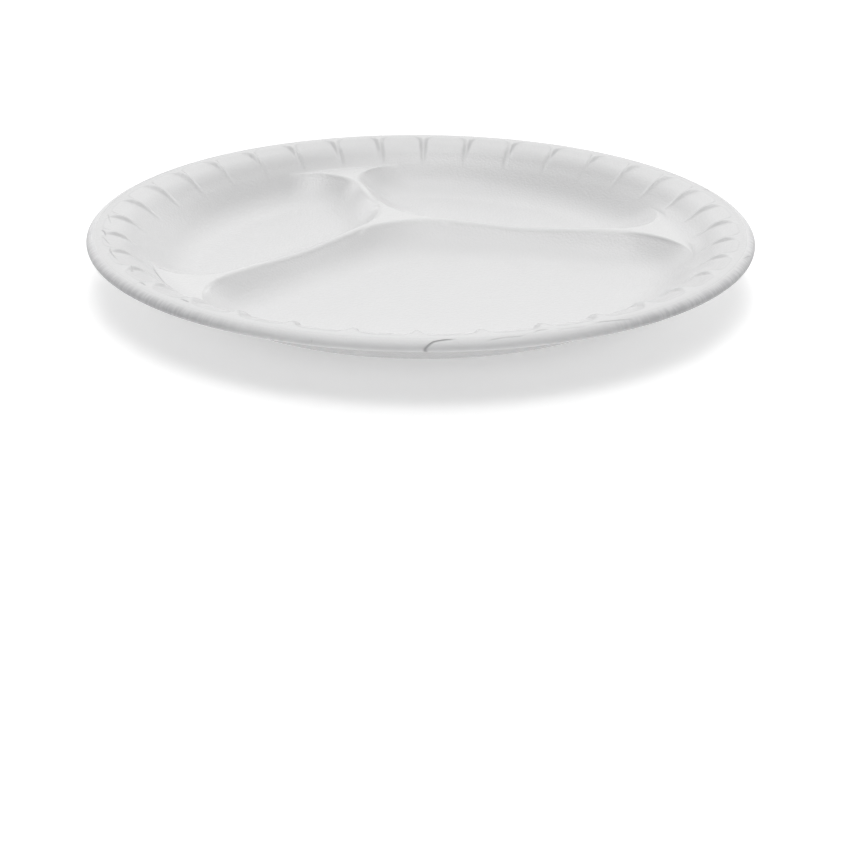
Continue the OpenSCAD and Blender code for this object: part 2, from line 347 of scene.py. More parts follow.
@dataclass(frozen=True)
class Rings:
    """Where one face of the sheet has its rings.

    The wall's lie in three stretches: up to the shoulder, over it and along the shelf. The
    shoulder is given by distances from the shelf's radius. Those of the sides, the floors and
    the junction are shares of the way out from their foot or middle.
    """

    wall_step: int
    brim: int
    edge_in: float
    side: tuple[float, ...]
    floor: tuple[float, ...]
    stretches: tuple[int, ...] = (5, 10, 12)
    shoulder: tuple[float, ...] = (-4.0, 2.0)
    gap: float = 0.6
    brim_power: float = 1.8
    lip: int = 8
    hub: tuple[float, ...] = (1, 0.96, 0.92, 0.87, 0.81, 0.74, 0.65, 0.55, 0.4, 0.2, 0.0)


@dataclass
class Sheet:
    """Collects patches of the pressed sheet and welds them into one closed mesh."""

    weld: float = 0.002
    sliver: float = 0.0005
    points: list[np.ndarray] = field(default_factory=list)
    faces: list[np.ndarray] = field(default_factory=list)
    count: int = 0

    def add_grid(self, rows: np.ndarray, closed: bool) -> None:
        """Adds a grid of points as quads.

        Args:
            rows: array of rows by columns by 3, in millimetres.
            closed: whether the last column joins the first one.
        """
        m, n = rows.shape[:2]
        index = np.arange(m * n).reshape(m, n) + self.count
        right = np.roll(index, -1, axis=1)
        if not closed:
            index, right = index[:, :-1], right[:, :-1]
        quads = np.stack([index[:-1], right[:-1], right[1:], index[1:]], axis=-1).reshape(-1, 4)
        self.points.append(rows.reshape(-1, 3))
        self.faces.append(quads)
        self.count += m * n

    def mesh(self, name: str) -> bpy.types.Mesh:
        """Welds the patches, turns the faces outward and returns the mesh in metres.

        Args:
            name: name of the new mesh.

        Returns:
            A closed mesh with smooth faces.
        """
        mesh = bpy.data.meshes.new(name)
        points = np.concatenate(self.points) * MM
        mesh.from_pydata(points.tolist(), [], np.concatenate(self.faces).tolist())
        bm = bmesh.new()
        bm.from_mesh(mesh)
        bmesh.ops.remove_doubles(bm, verts=bm.verts, dist=self.weld * MM)
        bmesh.ops.dissolve_degenerate(bm, edges=bm.edges, dist=self.sliver * MM)
        bmesh.ops.recalc_face_normals(bm, faces=bm.faces)
        gaps = sum(1 for e in bm.edges if len(e.link_faces) != 2)
        LOG.info("%s: %d points, %d faces, %d open edges", name, len(bm.verts), len(bm.faces), gaps)
        bm.to_mesh(mesh)
        bm.free()
        mesh.shade_smooth()
        return mesh


@dataclass(frozen=True)
class Crease:
    """A shallow crease of the skin: its line in plan, its depth, and whether it starts unfaded."""

    line: tuple[tuple[float, float], ...]
    depth: float = 1.0
    open_start: bool = False


@dataclass(frozen=True)
class Wear:
    """Creases of the brim, the flutes and the left fan, and the fine folds round the flutes.

    They are written to the mesh as four point attributes. A crease has its whole strength over
    the share whole of its reach, and fades at an end over the share fade of its length.
    """

    reach: float = 3.0
    whole: float = 0.5
    fade: float = 0.3
    lowest_z: float = 8.0
    fold_start_r: float = 97.0
    fold_whole_r: float = 103.0
    creases: tuple[Crease, ...] = (
        Crease(((-36.8, -106.6), (-35.3, -106.3), (-33.7, -105.8), (-32.2, -105.8), (-30.2, -106.0),
                (-28.3, -106.4), (-26.7, -106.6)), 1.6, True),
        Crease(((-20.7, -109.7), (-17.7, -109.5), (-13.8, -109.5), (-9.5, -110.1), (-6.4, -109.7)), 0.6),
        Crease(((-5.6, -109.3), (-2.8, -108.3), (0.2, -108.5)), 0.6),
        Crease(((0.6, -107.5), (3.5, -109.3), (8.3, -109.7), (12.1, -109.4)), 0.3),
        Crease(((12.6, -108.5), (15.9, -108.0), (19.7, -108.1), (23.8, -108.0), (27.6, -108.1)), 0.7),
        Crease(((-101.1, 37.7), (-101.2, 33.0), (-101.3, 26.7)), 0.5),
        Crease(((-105.7, 20.8), (-105.1, 17.8), (-105.0, 13.9)), 1.0),
        Crease(((-106.3, 14.3), (-105.7, 9.8), (-105.0, 5.3)), 0.6),
        Crease(((-105.6, 2.4), (-106.1, -1.7), (-105.8, -5.9), (-105.0, -11.2)), 0.8),
        Crease(((-102.0, -17.6), (-102.4, -22.8)), 0.8),
        Crease(((-102.5, -33.6), (-101.6, -35.3), (-100.9, -37.8)), 0.9),
        Crease(((-94.6, -9.1), (-93.6, -9.0), (-92.5, -9.8)), 0.6),
        Crease(((-92.0, 5.5), (-92.3, -1.4), (-92.1, -8.5), (-91.6, -15.6), (-90.8, -20.6),
                (-89.9, -25.0), (-88.9, -27.6)), 0.9),
        Crease(((-93.3, -51.9), (-92.2, -54.0), (-91.2, -56.1)), 0.9),
        Crease(((108.0, -2.2), (109.6, -2.6), (112.4, -1.2)), 1.2),
        Crease(((82.5, -72.9), (88.7, -68.8)), 0.8),
        Crease(((-64.6, -91.1), (-64.4, -92.2)), 0.9),
    )

    def mark(self, mesh: bpy.types.Mesh, rim: Rim) -> None:
        """Writes each point's distance beside its strongest crease and from its fold, with strengths.

        The distance is the cross product of the crease's unit way and the point's place from it,
        so it changes sign across the crease. The folds' strength grows up the wall.

        Args:
            mesh: the plate's mesh, in metres.
            rim: the rim, which gives the flutes' folds.
        """
        count = len(mesh.vertices)
        points = np.empty(count * 3)
        mesh.vertices.foreach_get("co", points)
        points = points.reshape(-1, 3) / MM
        beside, strength = np.full(count, self.reach), np.zeros(count)
        for crease in self.creases:
            line = np.array(crease.line)
            step = line[1:] - line[:-1]
            length = np.linalg.norm(step, axis=1)
            start = np.concatenate([[0], np.cumsum(length)])
            offset = points[:, None, :2] - line[None, :-1]
            t = np.clip((offset * step).sum(axis=-1) / length**2, 0, 1)
            gap = np.linalg.norm(offset - t[..., None] * step, axis=-1)
            nearest = np.argmin(gap, axis=1)
            pick = (np.arange(count), nearest)
            run = (start[nearest] + t[pick] * length[nearest]) / start[-1]
            cross = (step[:, 0] * offset[..., 1] - step[:, 1] * offset[..., 0]) / length
            taper = ease(1 - run, 0, self.fade)
            if not crease.open_start:
                taper = taper * ease(run, 0, self.fade)
            power = crease.depth * taper * (1 - ease(gap[pick], self.reach * self.whole, self.reach))
            better = power > strength
            beside = np.where(better, cross[pick], beside)
            strength = np.where(better, power, strength)
        upper = points[:, 2] > self.lowest_z
        radius = np.hypot(points[:, 0], points[:, 1])
        layers = {
            "crease_side": beside,
            "crease_power": strength * upper,
            "fold_side": rim.fold(radius, np.degrees(np.arctan2(points[:, 1], points[:, 0]))),
            "fold_power": ease(radius, self.fold_start_r, self.fold_whole_r) * upper,
        }
        for name, values in layers.items():
            layer = mesh.attributes.new(name, "FLOAT", "POINT")
            layer.data.foreach_set("value", values.astype(np.float32))


@dataclass
class FoamPlate:
    """The whole plate, pressed from one sheet: rim, three compartments, dividers and junction."""

    rim: Rim = field(default_factory=Rim)
    dividers: Dividers = field(default_factory=Dividers)
    wear: Wear = field(default_factory=Wear)
    seam_soft: tuple[float, ...] = (0.8, 0.8, 4.0)
    seam_fade: float = 12.0
    top_rings: Rings = Rings(
        wall_step=1,
        brim=18,
        edge_in=0.0,
        side=(1, 0.93, 0.86, 0.78, 0.7, 0.62, 0.54, 0.46, 0.38, 0.3, 0.22, 0.15, 0.09, 0.04, 0.0),
        floor=(0.8, 0.55, 0.3, 0.0),
    )
    under_rings: Rings = Rings(
        wall_step=2,
        brim=9,
        edge_in=1.3,
        side=(1, 0.7, 0.4, 0.2, 0.0),
        floor=(0.5, 0.0),
    )

    def deck_r(self) -> float:
        """Radius of the wall at the height of the deck."""
        return self.rim.radius_at(self.dividers.deck_z)

    def rings(self, under: bool) -> Rings:
        """Rings of the underside or of the top."""
        return self.under_rings if under else self.top_rings

    # Outlines in plan.

    def tangent_angle(self, arm: float, hand: int, off: float, circle: float, radius: float) -> float:
        """Angle at which a corner circle between a divider's side and the wall touches the wall.

        The corner's centre lies at off plus radius beside the divider and at circle less radius
        from the plate's centre.

        Args:
            arm: angle of the divider.
            hand: 1 for its left side, -1 for its right side.
            off: distance of the side from the divider's middle.
            circle: radius of the wall's circle.
            radius: radius of the corner.

        Returns:
            The angle about the plate's centre in degrees.
        """
        along, across = unit(arm), unit(arm + 90 * hand)
        q = self.dividers.junction + across * (off + radius)
        t = -q @ along + math.sqrt((q @ along) ** 2 - q @ q + (circle - radius) ** 2)
        x, y = q + along * t
        return math.degrees(math.atan2(y, x))

    def side(
        self, arm: float, hand: int, off: float, circle: float, angle: float, bend_r: float
    ) -> np.ndarray:
        """One side of a divider from the junction's bend out to where its corner meets the wall.

        The corner's radius is the one that touches both the side and the circle at the angle.

        Args:
            arm: angle of the divider.
            hand: 1 for its left side, -1 for its right side.
            off: distance of the side from the divider's middle.
            circle: radius of the wall's circle.
            angle: angle at which the corner touches the circle.
            bend_r: radius of the bend at the junction.

        Returns:
            Array of side_rows plus corner_rows points by 2.
        """
        d = self.dividers
        along, across = unit(arm), unit(arm + 90 * hand)
        base = d.junction + across * off
        out = unit(angle)
        radius = (circle * (out @ across) - base @ across) / (1 + out @ across)
        centre = (circle - radius) * out
        start = (off + bend_r) / math.tan(math.radians(d.half_gap))
        end = (centre - d.junction) @ along
        straight = base + along * np.linspace(start, end, d.side_rows)[:, None]
        first = arm - 90 * hand
        sweep = (angle - first) * hand % 360 * hand
        turn = first + sweep * np.linspace(0, 1, d.corner_rows + 1)[1:]
        return np.concatenate([straight, centre + radius * unit(turn)])

    def bend(self, arm: float, off: float, radius: float) -> np.ndarray:
        """Bend at the junction in the compartment left of a divider, without its end points.

        It runs from the next divider's side to this divider's side on a circle that touches both.

        Args:
            arm: angle of the divider.
            off: distance of the sides from the dividers' middles.
            radius: radius of the bend.

        Returns:
            Array of points by 2.
        """
        d = self.dividers
        inner, spread = arm + d.half_gap + 180, 90 - d.half_gap
        turn = np.linspace(inner - spread, inner + spread, d.bend_rows + 1)[1:-1]
        return d.bend_centre(arm, off, radius) + radius * unit(turn)

    def column_of(self, angle: float) -> int:
        """Index of the mesh column nearest to an angle, counted on through full turns.

        Args:
            angle: the angle in degrees.

        Returns:
            The column's index.
        """
        angles = self.rim.column_angles()
        turns, rest = divmod(angle, 360.0)
        gaps = np.abs(np.append(angles, 360.0) - rest)
        return int(np.argmin(gaps)) + int(turns) * len(angles)

    def angle_of(self, column: np.ndarray) -> np.ndarray:
        """Angles of mesh columns, counted on through full turns."""
        turns, rest = np.divmod(column, len(self.rim.column_angles()))
        return self.rim.column_angles()[rest] + turns * 360.0

    def fan(self, arm: float) -> Fan:
        """The fan at the end of a divider.

        Args:
            arm: angle of the divider.

        Returns:
            The fan, from the divider's right side to its left side.
        """
        d = self.dividers
        corners = [(hand, d.shape(d.beside(arm, hand)).corner_r) for hand in (-1, 1)]
        ends = [self.tangent_angle(arm, hand, d.crest_half, self.deck_r(), r) for hand, r in corners]
        first, last = (self.column_of(nearest_turn(end, arm)) for end in ends)
        columns = np.arange(first, last + 1)
        angle = self.angle_of(columns)
        return Fan(columns, angle, unit(angle) * self.deck_r())

    # Heights of the deck.

    def crest_z(self, arm: float, plan: np.ndarray) -> np.ndarray:
        """Height of a divider's crest: level at both ends, with a sine squared sag between.

        Args:
            arm: angle of the divider.
            plan: array of points by 2.

        Returns:
            The height at each point.
        """
        d = self.dividers
        along = unit(arm)
        t = (plan - d.junction) @ along
        b = d.junction @ along
        length = -b + math.sqrt(b * b - d.junction @ d.junction + self.deck_r() ** 2)
        x = np.clip((t - d.sag_start) / (length - d.sag_start - d.sag_end), 0, 1)
        depth = d.sag * min(1.0, length / d.sag_length)
        return d.deck_z - depth * np.sin(np.pi * x) ** 2

    def crown_drop(self) -> np.ndarray:
        """Crown's drop at the edge along a side: whole on the divider, fading round the corner.

        Returns:
            The drop at each point of a side.
        """
        d = self.dividers
        x = np.concatenate([np.zeros(d.side_rows), np.linspace(0, 1, d.corner_rows + 1)[1:]])
        return d.crown * (1 - ease(x, d.crown_fade, 1.0))

    def rise(self, s: np.ndarray) -> np.ndarray:
        """Share of a side's height at share s of its run: a round hollow, then a straight slope.

        The hollow starts at the toe angle on the floor's edge and ends at the wall's angle.

        Args:
            s: shares of the run, from 0 at the floor to 1 at the deck.

        Returns:
            The share of the height at each share of the run.
        """
        d = self.dividers
        toe, top = math.radians(d.toe_angle), math.radians(self.rim.wall_angle)
        run, height = self.deck_r() - d.floor_r, d.deck_z - d.floor_z
        x = s * run
        bend = d.foot_round * (math.sin(top) - math.sin(toe))
        tilt = np.arcsin(np.clip(math.sin(toe) + x / d.foot_round, -1, math.sin(top)))
        curve = d.foot_round * (math.cos(toe) - np.cos(tilt))
        corner = d.foot_round * (math.cos(toe) - math.cos(top))
        straight = corner + (x - bend) * (height - corner) / (run - bend)
        return np.where(x < bend, curve, straight) / height

    def seam(self, arm: float, inward: np.ndarray, r: np.ndarray) -> np.ndarray:
        """Rise of the rounded seam between a divider's fan and the wall.

        It is the rounding where the wall's line comes near the deck's height, and it fades in
        from the fan's sides.

        Args:
            arm: angle of the divider.
            inward: distance of each point from the nearer side of the fan.
            r: radius of each point.

        Returns:
            The rise of each point.
        """
        soft = self.seam_soft[self.dividers.arms.index(arm)]
        gap = self.rim.slope * (r - self.deck_r())
        return ease(inward, 0, self.seam_fade) * rounding(gap, soft)

    # Patches of the sheet.

    def face(self, plan: np.ndarray, z: np.ndarray, under: bool) -> np.ndarray:
        """Joins places and top heights, lowered by the sheet's thickness on the underside."""
        z = z - self.rim.sheet if under else z
        return np.concatenate([plan, z[..., None]], axis=-1)

    def ring_radii(self, under: bool) -> np.ndarray:
        """Radii of the rim's rings, closer together over the shoulder and toward the lip.

        Args:
            under: whether the rings are those of the underside.

        Returns:
            The radii from the deck's edge outward.
        """
        rim, rings = self.rim, self.rings(under)
        low, high = (rim.shelf_r + x for x in rings.shoulder)
        spans = ((self.deck_r(), low), (low + rings.gap, high), (high + rings.gap, rim.arch_r))
        wall = np.concatenate([np.linspace(*span, n) for span, n in zip(spans, rings.stretches)])
        wall = np.concatenate([wall[:-1:rings.wall_step], wall[-1:]])
        left = 1 - np.arange(1, rings.brim) / (rings.brim - 1)
        brim = rim.arch_r + (rim.lip_r - rings.edge_in - rim.arch_r) * (1 - left**rings.brim_power)
        return np.concatenate([wall, brim])

    def rim_rows(self, under: bool) -> np.ndarray:
        """Rings of the rim from the deck's edge to the lip, on top or underneath.

        Args:
            under: whether the rings are those of the underside.

        Returns:
            Array of rings by columns by 3.
        """
        rim = self.rim
        angle, radii = rim.column_angles(), self.ring_radii(under)
        r = np.broadcast_to(radii[:, None], (len(radii), len(angle)))
        z = rim.top(r, angle[None, :])
        if under:
            z = z - rim.thickness(r)
        else:
            for arm in self.dividers.arms:
                fan = self.fan(arm)
                places = fan.columns % len(angle)
                z[:, places] += self.seam(arm, (fan.side_share * fan.width)[None, :], r[:, places])
        return self.face(unit(angle)[None, :, :] * r[..., None], z, False)

    def lip_rows(self) -> np.ndarray:
        """Rings round the lip's lower half: a quarter ellipse from the edge to the underside.

        Returns:
            Array of rings by columns by 3.
        """
        rim = self.rim
        turn = np.radians(np.linspace(0, 90, self.rings(True).lip))
        r = rim.lip_r - rim.lip_w + rim.lip_w * np.cos(turn)
        z = rim.lip_z - (rim.lip_z - rim.lip_bottom_z) * np.sin(turn)
        plan = unit(rim.column_angles())[None, :, :] * r[:, None, None]
        rows = self.face(plan, np.broadcast_to(z[:, None], plan.shape[:2]), False)
        return np.concatenate([rows, self.rim_rows(True)[-1:]])

    def compartment(self, pocket: Pocket, under: bool) -> np.ndarray:
        """Rings of a compartment from its deck edge down to its floor's middle.

        Args:
            pocket: the compartment.
            under: whether the rings are those of the underside.

        Returns:
            Array of rings by outline points by 3.
        """
        d, rings = self.dividers, self.rings(under)
        shape = d.shape(pocket)
        a, b = d.arms[pocket.value], d.arms[(pocket.value + 1) % len(d.arms)]
        first, last = self.fan(a).columns[-1], self.fan(b).columns[0]
        if last < first:
            last += len(self.rim.column_angles())
        angle = self.angle_of(np.arange(first, last + 1))
        foot_off = d.crest_half + shape.side_w
        ends = [
            nearest_turn(self.tangent_angle(arm, hand, foot_off, d.floor_r, shape.floor_corner_r), near)
            for arm, hand, near in ((a, 1, angle[0]), (b, -1, angle[-1]))
        ]
        floor_angle = ends[0] + (ends[1] - ends[0]) * (angle - angle[0]) / (angle[-1] - angle[0])

        def outline(off: float, circle: float, wall: np.ndarray, bend_r: float) -> np.ndarray:
            """Closed outline: out along one divider, round the wall, back, and round the junction.

            Args:
                off: distance of the sides from the dividers' middles.
                circle: radius of the wall's circle.
                wall: angles of the points on the wall.
                bend_r: radius of the bend at the junction.

            Returns:
                Array of points by 2.
            """
            out = self.side(a, 1, off, circle, wall[0], bend_r)
            back = self.side(b, -1, off, circle, wall[-1], bend_r)[::-1]
            return np.concatenate([out, circle * unit(wall[1:-1]), back, self.bend(a, off, bend_r)])

        deck = outline(d.crest_half, self.deck_r(), angle, shape.bend_r)
        base = outline(foot_off, d.floor_r, floor_angle, shape.floor_bend_r)
        drop = self.crown_drop()
        n, m = len(drop), len(angle) - 2
        top = np.concatenate([
            self.crest_z(a, deck[:n]) - drop,
            np.full(m, d.deck_z),
            self.crest_z(b, deck[n + m : 2 * n + m]) - drop[::-1],
            np.full(d.bend_rows - 1, d.deck_z - d.crown),
        ])
        share = np.array(rings.side)[:, None]
        plan = mix(base[None], deck[None], share[..., None])
        z = d.floor_z + (top[None] - d.floor_z) * self.rise(share)
        sides = self.face(plan, z, under)
        middle = sides[-1].mean(axis=0)
        floor = mix(middle[None, None], sides[-1:], np.array(rings.floor)[:, None, None])
        return np.concatenate([sides, floor])

    def crest(self, arm: float, under: bool) -> np.ndarray:
        """Rows across a divider's crest and its fan, from the junction out to the wall.

        Across the crest the height is a parabola of the distance from the edge, flat beyond the
        crest's half width. The last rows bend from straight to the wall's arc, by a power of the
        way round the corner times the square of the width's share of that at the wall.

        Args:
            arm: angle of the divider.
            under: whether the rows are those of the underside.

        Returns:
            Array of rows by wall columns by 3.
        """
        d, fan = self.dividers, self.fan(arm)
        right, left = (
            self.side(arm, hand, d.crest_half, self.deck_r(), end, d.shape(d.beside(arm, hand)).bend_r)
            for hand, end in ((-1, fan.angle[0]), (1, fan.angle[-1]))
        )
        right[-1], left[-1] = fan.arc[0], fan.arc[-1]
        v = fan.share
        bulge = fan.arc - (fan.arc[0] + v[:, None] * fan.chord)
        width = (left - right) @ unit(arm + 90)
        row = np.arange(len(width)) - d.side_rows + d.arc_lead
        grow = np.clip(row / (d.corner_rows + d.arc_lead - 1), 0, 1) ** d.arc_power
        grow = grow * (width / width[-1]) ** 2
        plan = right[:, None] + v[None, :, None] * (left - right)[:, None]
        plan = plan + grow[:, None, None] * bulge[None]
        inward = fan.side_share[None, :] * width[:, None]
        drop = self.crown_drop()[:, None] * (1 - np.clip(inward / d.crest_half, 0, 1)) ** 2
        edge = mix(self.crest_z(arm, right)[:, None], self.crest_z(arm, left)[:, None], v[None])
        z = edge - drop
        z[-1] = d.deck_z
        if not under:
            z = z + self.seam(arm, inward * fan.width / width[-1], np.linalg.norm(plan, axis=-1))
        return self.face(plan, z, under)

    def hub(self, under: bool) -> np.ndarray:
        """Rings of the junction, from the ends of the crests and bends in to its middle.

        The height is the crests' parabola of the distance from the nearest bend. What the outer
        ring differs from it fades inward by a power of the ring's share.

        Args:
            under: whether the rings are those of the underside.

        Returns:
            Array of rings by outline points by 3.
        """
        d = self.dividers
        parts, circles = [], []
        for arm in d.arms:
            radius = d.shape(d.beside(arm, 1)).bend_r
            bend = self.bend(arm, d.crest_half, radius)[::-1]
            edge = self.face(bend, np.full(len(bend), d.deck_z - d.crown), False)
            parts += [self.crest(arm, False)[0], edge]
            circles.append((d.bend_centre(arm, d.crest_half, radius), radius))
        ring = np.concatenate(parts)
        level = np.array(self.rings(under).hub)[:, None]
        plan = mix(d.junction[None, None], ring[None, :, :2], level[..., None])
        gaps = [np.linalg.norm(plan - centre, axis=-1) - radius for centre, radius in circles]
        inward = np.clip(np.min(gaps, axis=0) / d.crest_half, 0, 1)
        z = d.deck_z - d.crown * (1 - inward) ** 2
        z = z + (ring[None, :, 2] - z[:1]) * level**d.hub_power
        return self.face(plan, z, under)

    def build(self) -> bpy.types.Object:
        """Makes the plate's mesh and object.

        Returns:
            The plate, riding on the root body and standing for its CAD node.
        """
        sheet = Sheet()
        sheet.add_grid(self.rim_rows(False), True)
        sheet.add_grid(self.rim_rows(True), True)
        sheet.add_grid(self.lip_rows(), True)
        for under in (False, True):
            for pocket in Pocket:
                sheet.add_grid(self.compartment(pocket, under), True)
                sheet.add_grid(self.crest(self.dividers.arms[pocket.value], under), False)
            sheet.add_grid(self.hub(under), True)
        mesh = sheet.mesh("foam_plate")
        self.wear.mark(mesh, self.rim)
        plate = bpy.data.objects.new("foam_plate", mesh)
        bpy.context.scene.collection.objects.link(plate)
        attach(plate, "root")
        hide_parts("plate")
        return plate


class Socket:
    """A shader socket that takes part in Python expressions by adding Math nodes."""

    def __init__(self, shader: "Shader", socket: bpy.types.NodeSocket) -> None:
        """Wraps a socket of a shader."""
        self.shader = shader
        self.socket = socket

    def __add__(self, other: object) -> "Socket":
        """Sum."""
        return self.shader.math("ADD", self, other)

    def __radd__(self, other: object) -> "Socket":
        """Sum, reflected."""
        return self.shader.math("ADD", other, self)

    def __sub__(self, other: object) -> "Socket":
        """Difference."""
        return self.shader.math("SUBTRACT", self, other)

    def __rsub__(self, other: object) -> "Socket":
        """Difference, reflected."""
        return self.shader.math("SUBTRACT", other, self)

    def __mul__(self, other: object) -> "Socket":
        """Product."""
        return self.shader.math("MULTIPLY", self, other)

    def __rmul__(self, other: object) -> "Socket":
        """Product, reflected."""
        return self.shader.math("MULTIPLY", other, self)

    def __pow__(self, other: object) -> "Socket":
        """Power."""
        return self.shader.math("POWER", self, other)


class Shader:
    """Builds the node tree of a material or of the world."""

    def __init__(self, owner: bpy.types.Material | bpy.types.World) -> None:
        """Starts an empty tree.

        Args:
            owner: the material or the world that the tree belongs to.
        """
        self.owner = owner
        owner.use_nodes = True
        self.tree = owner.node_tree
        self.tree.nodes.clear()

    def node(self, kind: str, settings: dict, inputs: dict, output: int | str = 0) -> Socket:
        """Adds a node.

        Args:
            kind: the node's type.
            settings: properties set on the node first.
            inputs: values or sockets by input name or number.
            output: the output to return.

        Returns:
            The chosen output.
        """
        node = self.tree.nodes.new(kind)
        for key, value in settings.items():
            setattr(node, key, value)
        for key, value in inputs.items():
            if isinstance(value, Socket):
                self.tree.links.new(value.socket, node.inputs[key])
            else:
                node.inputs[key].default_value = value
        return Socket(self, node.outputs[output])

    def math(self, operation: str, *values: object) -> Socket:
        """Adds a Math node on values or sockets."""
        return self.node("ShaderNodeMath", {"operation": operation}, dict(enumerate(values)))

    def vector(self, operation: str, inputs: dict, output: int | str = 0) -> Socket:
        """Adds a Vector Math node."""
        return self.node("ShaderNodeVectorMath", {"operation": operation}, inputs, output)

    def finish(self, surface: Socket) -> bpy.types.Material | bpy.types.World:
        """Joins a surface to the tree's output.

        Args:
            surface: the surface's shader.

        Returns:
            The material or the world that the tree belongs to.
        """
        world = isinstance(self.owner, bpy.types.World)
        out = self.tree.nodes.new("ShaderNodeOutputWorld" if world else "ShaderNodeOutputMaterial")
        self.tree.links.new(surface.socket, out.inputs["Surface"])
        return self.owner


@dataclass(frozen=True)
class FoamFinish:
    """Satin skin of pressed white foam: pale, faintly mottled, with a fine grain.

    The crests are a little paler: painted light. Toward the lip the skin is darker: painted shade
    on the lip's roll. On both sides of the front the lip has a dark, finely wrinkled band that is
    partly wear and partly painted shade. Creases are shallow grooves darkened by painted shade, and
    faint painted shade follows the folds round the flutes. Lengths are metres, as Object coordinates
    are, but the half widths of folds and grooves are millimetres, as their attributes are.
    """

    colour: Colour = (0.80, 0.80, 0.80, 1.0)
    shade: Colour = (0.76, 0.76, 0.765, 1.0)
    # Painted shade: the lip's roll is darkened toward the edge.
    lip_painted_shade_colour: Colour = (0.73, 0.73, 0.735, 1.0)
    # Partly wear and partly painted shade: the dark, finely wrinkled band on the lip's sides.
    wear_and_shade_colour: Colour = (0.50, 0.50, 0.51, 1.0)
    # Painted light: paler tops of the dividers and the junction.
    crest_painted_light_colour: Colour = (0.82, 0.82, 0.82, 1.0)
    # Painted shade in the creases and along the folds round the flutes.
    painted_crease_shade_colour: Colour = (0.45, 0.45, 0.46, 1.0)
    roughness: float = 0.25
    roughness_spread: float = 0.08
    noise_middle: float = 0.5
    grain_scale: float = 1100.0
    grain_detail: float = 2.0
    grain_share: float = 0.6
    grain_depth: float = 0.0001
    cloud_scale: float = 60.0
    cloud_detail: float = 3.0
    cloud_share: float = 0.4
    cloud_depth: float = 0.00012
    lip_start: float = 0.1092
    lip_r: float = 0.1128
    lip_roughness: float = 0.35
    # Bounds of the painted light on the tops of the dividers and the junction.
    crest_low: float = 0.0096
    crest_high: float = 0.0108
    crest_fade: float = 0.0875
    crest_end: float = 0.0915
    # Bounds of the lip's dark band, which is partly wear and partly painted shade.
    wear_and_shade_start: float = 0.1095
    wear_and_shade_angle: float = -109.5
    wear_and_shade_in: tuple[float, float] = (-0.15, 0.2)
    wear_and_shade_out: tuple[float, float] = (0.75, 0.98)
    wrinkle_scale: float = 850.0
    wrinkle_detail: float = 2.0
    wrinkle_band: tuple[float, float] = (0.42, 0.62)
    wrinkle_reach: float = 0.2
    wrinkle_length: float = 0.0008
    wrinkle_depth: float = 0.00001
    fold_half: float = 0.35
    fold_shade_share: float = 0.14
    fold_depth: float = 0.00002
    groove_half: float = 0.24
    crease_shade_share: float = 0.6
    groove_depth: float = 0.0002

    def material(self) -> bpy.types.Material:
        """Builds the foam's material.

        The wrinkles are a noise of the way from the plate's axis, with the radius scaled down, so
        they run across the brim. The lip's dark band of wear and painted shade lies where the cosine
        between that way and wear_and_shade_angle lies between wear_and_shade_in and wear_and_shade_out.
        A groove, with the painted shade along it, is a bell curve times its strength.

        Returns:
            The material.
        """
        shader = Shader(bpy.data.materials.new("foam_skin"))

        def noise(vector: Socket, scale: float, detail: float) -> Socket:
            """Adds a noise texture."""
            inputs = {"Vector": vector, "Scale": scale, "Detail": detail}
            return shader.node("ShaderNodeTexNoise", {}, inputs)

        def blend(share: Socket, a: object, b: object) -> Socket:
            """Adds a colour mix from a to b."""
            return shader.node("ShaderNodeMix", {"data_type": "RGBA"}, {0: share, 6: a, 7: b}, 2)

        def ramp(value: Socket, low: float, high: float) -> Socket:
            """Adds a smooth step from 0 at low to 1 at high."""
            settings = {"interpolation_type": "SMOOTHSTEP"}
            return shader.node("ShaderNodeMapRange", settings, {0: value, 1: low, 2: high})

        def attribute(name: str) -> Socket:
            """Adds a reader of a point attribute."""
            return shader.node("ShaderNodeAttribute", {"attribute_name": name}, {}, "Fac")

        def bell(side: Socket, half: float) -> Socket:
            """Adds a bell curve: the exponential of minus the square of side over half."""
            share = side * (1 / half)
            return shader.math("EXPONENT", share * share * -1.0)

        place = shader.node("ShaderNodeTexCoord", {}, {}, "Object")
        flat = shader.vector("MULTIPLY", {0: place, 1: (1.0, 1.0, 0.0)})
        radius = shader.vector("LENGTH", {0: flat}, "Value")
        way = shader.vector("NORMALIZE", {0: flat})
        around = shader.vector("SCALE", {0: way, "Scale": self.lip_r})
        across = shader.node("ShaderNodeCombineXYZ", {}, {2: radius * self.wrinkle_reach})
        brim = shader.vector("ADD", {0: around, 1: across})
        # Arc of the lip's sides that carries the dark band of wrinkled wear and painted shade.
        facing = shader.vector("DOT_PRODUCT", {0: way, 1: (*unit(self.wear_and_shade_angle), 0.0)}, "Value")
        wear_and_shade_arc = ramp(facing, *self.wear_and_shade_in) * (1 - ramp(facing, *self.wear_and_shade_out))

        grain = noise(place, self.grain_scale, self.grain_detail)
        cloud = noise(place, self.cloud_scale, self.cloud_detail)
        wrinkle = ramp(noise(brim, self.wrinkle_scale, self.wrinkle_detail), *self.wrinkle_band)
        # Painted shade toward the lip; the same ramp also makes the lip rougher.
        lip = ramp(radius, self.lip_start, self.lip_r)
        # Wrinkled wear with painted shade on the lip's sides.
        wear_and_shade = ramp(radius - wrinkle * self.wrinkle_length, self.wear_and_shade_start, self.lip_r) * wear_and_shade_arc

        # Painted shade in the creases and along the folds, over real shallow grooves in the bump.
        groove = bell(attribute("crease_side"), self.groove_half) * attribute("crease_power")
        fold = bell(attribute("fold_side"), self.fold_half) * attribute("fold_power")
